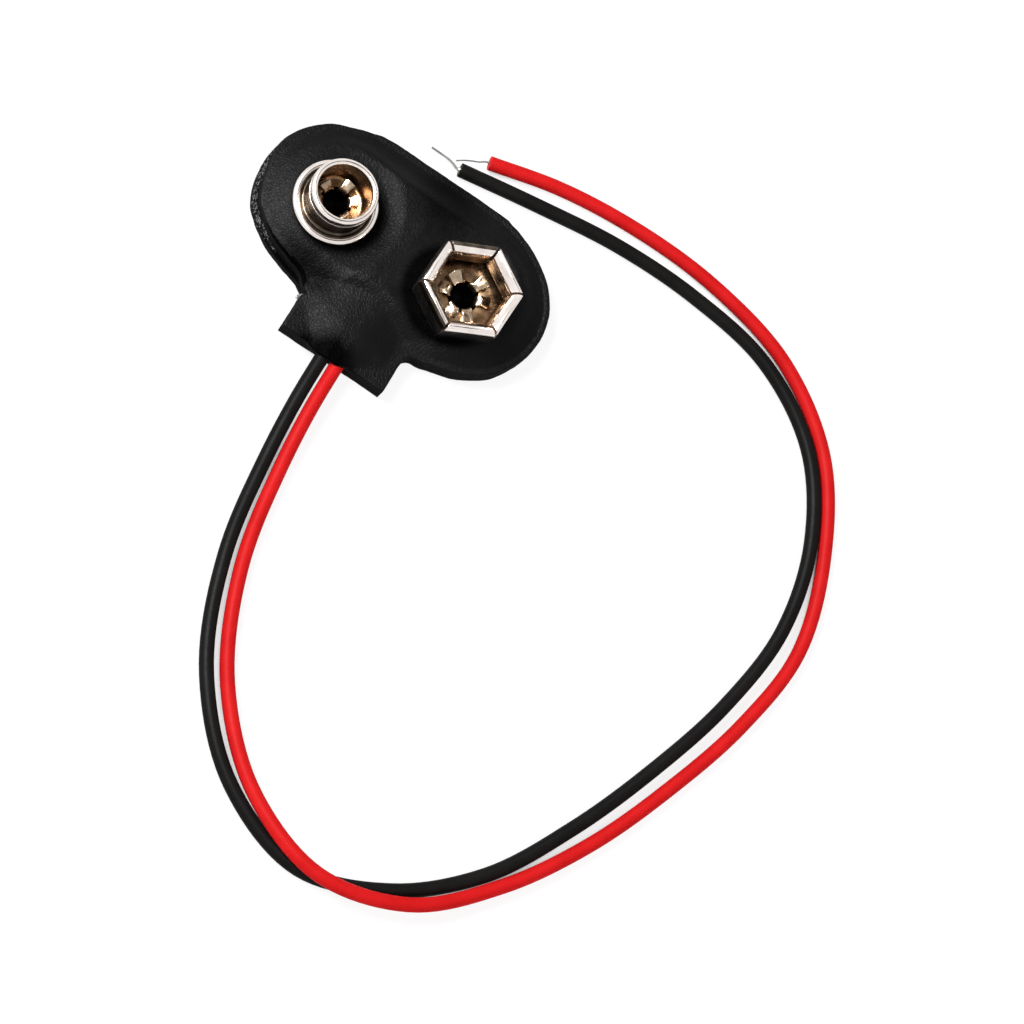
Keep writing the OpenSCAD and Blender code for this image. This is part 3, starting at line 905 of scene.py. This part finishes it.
# The stud's flange is flat to a radius and ends in an elliptic bead: middle, half width, half height
FLANGE_FLAT, BEAD_R, BEAD_HALF, BEAD_H = 3.2, 3.24, 0.36, 0.29
BEAD_ANGLES = [math.radians(lerp(-90, 150, k / 20)) for k in range(21)]
# From the bead up the waist to the head: radius, height over the seat
STUD_WAIST = (
    (2.93, 0.40), (2.78, 0.37), (2.63, 0.50), (2.55, 0.85), (2.54, 1.3), (2.55, 1.75), (2.66, 2.02),
    (2.77, 2.3), (2.78, 2.75),
)
# The rolled lip: radius and height of its middle, its own radius
LIP_AT, LIP_H, LIP_R = 2.51, 2.98, 0.27
# The cup inside: radius and height at the lip, radius and fillet at the floor, start of the flat floor
CUP_TOP, CUP_H, CUP_LOW, CUP_FILLET, CUP_FLAT = 2.24, 2.8, 2.26, 0.35, 1.6
# Edges of the stud's section: the bead's bright ones, the waist's shaded ones, the lip's inner ones
BEAD_BRIGHT, WAIST_SHADED, LIP_INNER = 18, 21, 4


def make_stud():
    """The stud: a flange with a bead, a waist, a head with a rolled lip, and the cup inside."""
    outer = [Vector((HOLE_R, SEAT_Z)), Vector((FLANGE_FLAT, SEAT_Z))]
    bead = len(outer)
    for a in BEAD_ANGLES:
        outer.append(Vector((BEAD_R + BEAD_HALF * math.cos(a), SEAT_Z + BEAD_H + BEAD_H * math.sin(a))))
    waist = len(outer)
    outer += smooth([Vector((r, SEAT_Z + z)) for r, z in STUD_WAIST], 4)
    lip = arc(LIP_AT, SEAT_Z + LIP_H, LIP_R, 0, 180, 18)
    cup = rounded([(CUP_TOP, SEAT_Z + CUP_H, 0), (CUP_LOW, FLOOR_Z, CUP_FILLET), (CUP_FLAT, FLOOR_Z, 0)])
    profile = outer + lip + cup + [Vector((HOLE_R, FLOOR_Z))]
    verts, faces = lathe(profile, STUD_X)
    inner = len(outer) + len(lip) - LIP_INNER
    shaded = range(bead + BEAD_BRIGHT, waist + WAIST_SHADED)
    kinds = [INNER if i >= inner else SHADED if i in shaded else PLATE for i in range(len(profile))]
    marks = [kinds[i % len(profile)] for i in range(len(faces))]
    obj = piece("stud_shell", verts, faces, [NICKEL, CUP, SHADED_NICKEL], marks, sharp=40)
    settle(obj, "nickel", "stud_contact")


def leaf_section():
    """Section of a socket leaf: up its wall, over the roll, down its inner leg, back inside the fold."""
    ways = (
        (3.74, 1.3), (3.74, 2.0), (3.73, 2.45), (3.66, 2.75), (3.52, 2.93), (3.38, 2.97), (3.2, 2.88),
        (3.0, 2.72), (2.84, 2.55), (2.79, 2.3), (2.77, 1.6), (2.74, 0.93),
    )
    back = (
        (3.04, 0.93), (3.07, 1.6), (3.09, 2.1), (3.2, 2.42), (3.36, 2.55), (3.44, 2.4), (3.44, 1.3),
        (3.44, 0.32), (3.04, 0.3), (3.04, 0.0), (3.62, 0.0), (3.71, 0.04), (3.74, 0.12),
    )
    section = smooth([Vector((r, SEAT_Z + z)) for r, z in ways], 3)
    return section + [Vector((r, SEAT_Z + z)) for r, z in back]


# How the leaves were bent: height that counts as 1, lean and its spread, tilt, lift of the roll, waver
LEAF_H, LEAF_LEAN, LEAN_SPREAD = 3, 0.06, 0.02
LEAF_TILT, LEAF_LIFT, LEAF_WAVER = 0.012, (-0.03, 0.02), 0.004
# The gap beside a leaf grows at the roll, between two heights
LEAF_GAP, GAP_UP = (0.03, 0.2), (0.6, 0.8)
# Edges of a leaf's section: the first inner one, the number in the foot, and by leaf the shaded ones
LEAF_INNER, LEAF_FOOT = 28, 5
SHADED_LEAVES = {1: range(27, 34), 2: range(8, 17), 4: range(3, 12)}
SOCKET_FLOOR_R = 3.3


def make_socket():
    """The socket: six leaves folded over round a floor, no two bent alike."""
    dice = random.Random(11)
    section = leaf_section()
    n = len(section)
    parts, marks = [], []
    for k in range(6):
        a = math.radians(60 * k)
        tilt, lift = dice.uniform(-LEAF_TILT, LEAF_TILT), dice.uniform(*LEAF_LIFT)
        lean = LEAF_LEAN + LEAN_SPREAD * math.sin(5 * k + 1)
        verts = []
        for end in (-1, 1):
            for p in section:
                up = (p.y - SEAT_Z) / LEAF_H
                r = p.x + dice.uniform(-LEAF_WAVER, LEAF_WAVER) + up * lean
                half = (r - lerp(*LEAF_GAP, step(*GAP_UP, up))) * math.tan(math.radians(30))
                y = end * half + tilt * up
                east = SOCKET_X + r * math.cos(a) - y * math.sin(a)
                north = r * math.sin(a) + y * math.cos(a)
                verts.append((east, north, p.y + lift * max(0.0, up) ** 2))
        faces = [(i, (i + 1) % n, n + (i + 1) % n, n + i) for i in range(n)]
        faces += [tuple(range(n)), tuple(n + i for i in range(n))]
        parts.append((verts, faces))
        shaded, inner = SHADED_LEAVES.get(k, ()), range(LEAF_INNER, n - LEAF_FOOT)
        marks += [SHADED if i in shaded else INNER if i in inner else PLATE for i in range(n)]
        marks += [PLATE, PLATE]
    floor = [(HOLE_R, FLOOR_Z), (HOLE_R, SEAT_Z), (SOCKET_FLOOR_R, SEAT_Z), (SOCKET_FLOOR_R, FLOOR_Z)]
    parts.append(lathe([Vector(p) for p in floor], SOCKET_X, 48))
    marks += [INNER] * len(parts[-1][1])
    verts, faces = join(parts)
    obj = piece("socket_shell", verts, faces, [NICKEL, CUP, SHADED_NICKEL], marks, sharp=38)
    soften(obj, 0.035)
    settle(obj, "nickel", "socket_contact")


def soften(obj, width):
    """Rounds a mesh's sharp edges by that width in millimetres."""
    bevel = obj.modifiers.new("soft_edges", "BEVEL")
    bevel.width = width * MM
    bevel.segments = 2
    bevel.limit_method = "ANGLE"
    bevel.angle_limit = math.radians(45)
    bpy.context.view_layer.update()
    made = bpy.data.meshes.new_from_object(obj.evaluated_get(bpy.context.evaluated_depsgraph_get()))
    obj.modifiers.clear()
    obj.data = made
    made.polygons.foreach_set("use_smooth", [True] * len(made.polygons))
    made.set_sharp_from_angle(angle=math.radians(50))


# Rivets: radii of bore, tube and head, the head's faces and rounding, the tube's end
BORE_R, TUBE_R, HEAD_R = 1.025, 1.3, 2.1
HEAD_LOW, HEAD_HIGH, HEAD_ROUND = COVER_T + 0.01, COVER_T + 0.4, 0.06
TUBE_END = FLOOR_Z - 0.5
# Petals: thickness, radius of the root, height of the root and of the curl's start
PETAL_T, PETAL_R, PETAL_ROOT, PETAL_CURL = 0.24, 1.175, FLOOR_Z - 0.7, FLOOR_Z - 0.15
CURL_STEPS, ACROSS = 10, 7
# Towards its end a petal narrows, spreads less, droops at its sides and is dented
PETAL_NARROWS, PETAL_SPREAD, PETAL_DROOP, PETAL_DENT = 0.18, 0.8, 0.10, 0.22


def petal(centre, angle, wide, curl, bend, long, lift, twist):
    """One petal of a rivet's split end: up out of the bore, over and outwards."""
    foot = PETAL_CURL + lift
    path = [(PETAL_R, PETAL_ROOT, 90), (PETAL_R, foot, 90)]
    for k in range(1, CURL_STEPS + 1):
        bent = bend * k / CURL_STEPS
        a = math.radians(180 - bent)
        path.append((PETAL_R + curl + curl * math.cos(a), foot + curl * math.sin(a), 90 - bent))
    r, z, degrees = path[-1]
    slope = math.radians(degrees)
    path.append((r + long * math.cos(slope), z + long * math.sin(slope), degrees))
    verts = []
    last = len(path) - 1
    for i, (r, z, degrees) in enumerate(path):
        along = i / last
        slope = math.radians(degrees)
        narrowed = wide * (1 - PETAL_NARROWS * step(0.55, 1.0, along))
        for layer in (-0.5, 0.5):
            out, high = r - math.sin(slope) * PETAL_T * layer, z + math.cos(slope) * PETAL_T * layer
            for j in range(ACROSS):
                s = narrowed * (j / (ACROSS - 1) - 0.5)
                turn = angle + s / PETAL_R * lerp(1.0, PETAL_SPREAD, along) + twist * along**2
                droop = PETAL_DROOP * (2 * s / wide) ** 2 * step(0.4, 1.0, along)
                at = Vector((centre + out * math.cos(turn), out * math.sin(turn), high - droop))
                dent = PETAL_DENT * noise.noise(noise_at(at, 2.4, angle)) * step(0.3, 1.0, along)
                verts.append(at + Vector((0, 0, dent)))
    faces = []
    row = 2 * ACROSS
    for i in range(last):
        here, ahead = i * row, (i + 1) * row
        for j in range(ACROSS - 1):
            for k in (j, ACROSS + j):
                faces.append((here + k, here + k + 1, ahead + k + 1, ahead + k))
        for j in (0, ACROSS - 1):
            faces.append((here + j, here + ACROSS + j, ahead + ACROSS + j, ahead + j))
    for end in (0, last * row):
        for j in range(ACROSS - 1):
            faces.append((end + j, end + j + 1, end + ACROSS + j + 1, end + ACROSS + j))
    return verts, faces


def make_rivet(name, centre, petals, node):
    """A rivet: a flat head inside the covers, a tube, and the petals of its split end."""
    edge = [(HEAD_R, HEAD_LOW, HEAD_ROUND), (HEAD_R, HEAD_HIGH, HEAD_ROUND)]
    head = rounded([(BORE_R, HEAD_LOW, 0), *edge, (TUBE_R, HEAD_HIGH, 0)])
    tube = head + [Vector((TUBE_R, TUBE_END)), Vector((BORE_R, TUBE_END))]
    parts = [lathe(tube, centre, 64)]
    parts += [petal(centre, math.radians(a), *rest) for a, *rest in petals]
    verts, faces = join(parts)
    obj = piece(name, verts, faces, [RIVET], sharp=45)
    soften(obj, 0.03)
    settle(obj, "rivet_metal", node)


# Each petal: direction in degrees, width, curl radius, bend, straight end, lift, twist
STUD_PETALS = (
    (36, 0.98, 0.30, 66, 0.52, 0.10, 0.05),
    (94, 0.90, 0.34, 72, 0.60, 0.14, -0.10),
    (153, 1.02, 0.32, 62, 0.55, 0.12, 0.08),
    (214, 0.90, 0.26, 128, 0.42, 0.06, -0.05),
    (275, 0.98, 0.24, 138, 0.38, 0.06, 0.04),
    (337, 0.94, 0.28, 118, 0.50, 0.08, -0.06),
)
SOCKET_PETALS = (
    (17, 0.96, 0.30, 112, 0.70, 0.12, 0.06),
    (76, 0.94, 0.34, 74, 0.80, 0.14, -0.12),
    (142, 1.10, 0.32, 66, 0.84, 0.12, 0.14),
    (200, 0.88, 0.30, 116, 0.80, 0.10, -0.08),
    (260, 1.00, 0.28, 118, 0.78, 0.08, 0.10),
    (314, 0.92, 0.30, 104, 0.80, 0.10, -0.06),
)
make_stud()
make_socket()
make_rivet("stud_rivet_metal", STUD_X, STUD_PETALS, "stud_rivet")
make_rivet("socket_rivet_metal", SOCKET_X, SOCKET_PETALS, "socket_rivet")

# Inner solids that the covers hide keep their CAD shape
for node, material in (
    ("contact_board", BOARD),
    ("stud_solder", SOLDER),
    ("socket_solder", SOLDER),
    ("red_inner_end", TINNED),
    ("black_inner_end", TINNED),
):
    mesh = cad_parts[node].data
    mesh.materials.clear()
    mesh.materials.append(material)


# Floor, light and background: the floor's half size and drop, in metres
REACH, FLOOR_DROP = 3.0, 0.00002
# The lamps look at this point of the table, in metres
LAMP_AIM = Vector((0.008, -0.006, 0))
# The dark card over the table, an ellipse: middle and half sizes in metres, corners
CARD_X, CARD_Y, CARD_Z = 0.09, 0.2, 1.0
CARD_HALF_X, CARD_HALF_Y, CARD_CORNERS = 0.24, 0.36, 48


def seen_directly(tree):
    """1 for what is seen, mirrored or seen through, 0 for light on things."""
    path = tree.nodes.new("ShaderNodeLightPath").outputs
    first = add(tree, "Math", {0: path["Is Camera Ray"], 1: path["Is Glossy Ray"]}, operation="MAXIMUM")
    return add(tree, "Math", {0: first, 1: path["Is Transmission Ray"]}, operation="MAXIMUM")


def make_floor():
    """A white floor: a glow that fades close to the object, over paint that takes the lamps' shadows.
    The light that it throws back comes from paler paint."""
    material = bpy.data.materials.new("floor")
    material.use_nodes = True
    tree = material.node_tree
    tree.nodes.clear()
    bounce = add(tree, "BsdfDiffuse", {"Color": (0.85, 0.85, 0.85, 1)})
    shade = add(tree, "BsdfDiffuse", {"Color": (0.22, 0.22, 0.22, 1)})
    room = add(tree, "AmbientOcclusion", {"Distance": 1.5 * MM}, "AO", samples=8)
    light = spread(tree, room, 0.04, 0.27, 0.0, 0.84)
    glow = add(tree, "Emission", {"Color": (1, 1, 1, 1), "Strength": light})
    shown = add(tree, "AddShader", {0: shade, 1: glow})
    both = add(tree, "MixShader", {0: seen_directly(tree), 1: bounce, 2: shown})
    fill(tree, tree.nodes.new("ShaderNodeOutputMaterial"), {"Surface": both})
    mesh = bpy.data.meshes.new("floor")
    corners = [(-REACH, -REACH), (REACH, -REACH), (REACH, REACH), (-REACH, REACH)]
    mesh.from_pydata([(x, y, -FLOOR_DROP) for x, y in corners], [], [(0, 1, 2, 3)])
    mesh.materials.append(material)
    obj = add_object("floor", mesh)


def make_world():
    """A white background that throws a faint, cool light."""
    world = bpy.data.worlds.new("studio")
    world.use_nodes = True
    scene.world = world
    tree = world.node_tree
    tree.nodes.clear()
    light = add(tree, "Background", {"Color": (0.94, 0.97, 1.0, 1), "Strength": 0.22})
    white = add(tree, "Background", {"Color": (1, 1, 1, 1), "Strength": 1.0})
    both = add(tree, "MixShader", {0: seen_directly(tree), 1: light, 2: white})
    fill(tree, tree.nodes.new("ShaderNodeOutputWorld"), {"Surface": both})


def make_lamp(name, way, distance, size, watts, gloss=True, light=True):
    """A soft lamp that looks at the pad. It can be kept out of gloss, or give gloss alone."""
    data = bpy.data.lights.new(name, "AREA")
    data.shape = "RECTANGLE"
    data.size, data.size_y = size
    data.energy = watts
    lamp = add_object(name, data)
    lamp.visible_glossy, lamp.visible_diffuse = gloss, light
    way = Vector(way).normalized()
    lamp.location = LAMP_AIM + way * distance
    lamp.rotation_mode = "QUATERNION"
    lamp.rotation_quaternion = way.to_track_quat("Z", "Y")


def make_ceiling():
    """A dark card that glossy surfaces mirror from above."""
    dark = (0.050, 0.036, 0.026, 1)
    material, _ = new_material("ceiling_card", Roughness=1.0, Base_Color=dark, Specular_IOR_Level=0.0)
    verts = [
        (CARD_X + CARD_HALF_X * math.cos(a), CARD_Y + CARD_HALF_Y * math.sin(a), CARD_Z)
        for a in angles(CARD_CORNERS)
    ]
    mesh = bpy.data.meshes.new("ceiling_card")
    mesh.from_pydata(verts, [], [tuple(range(CARD_CORNERS))])
    mesh.materials.append(material)
    card = add_object("ceiling_card", mesh)
    card.visible_camera = False


make_floor()
make_world()
make_ceiling()
make_lamp("key", way=(-0.70, -0.05, 0.71), distance=0.6, size=(0.3, 0.3), watts=3.4)
make_lamp("sheen", way=(-0.50, -0.04, 0.866), distance=0.6, size=(0.24, 0.24), watts=15.0, light=False)
make_lamp("fill", way=(0.55, -0.25, 0.8), distance=0.7, size=(0.4, 0.3), watts=1.8, gloss=False)

scene.view_settings.view_transform = "Standard"
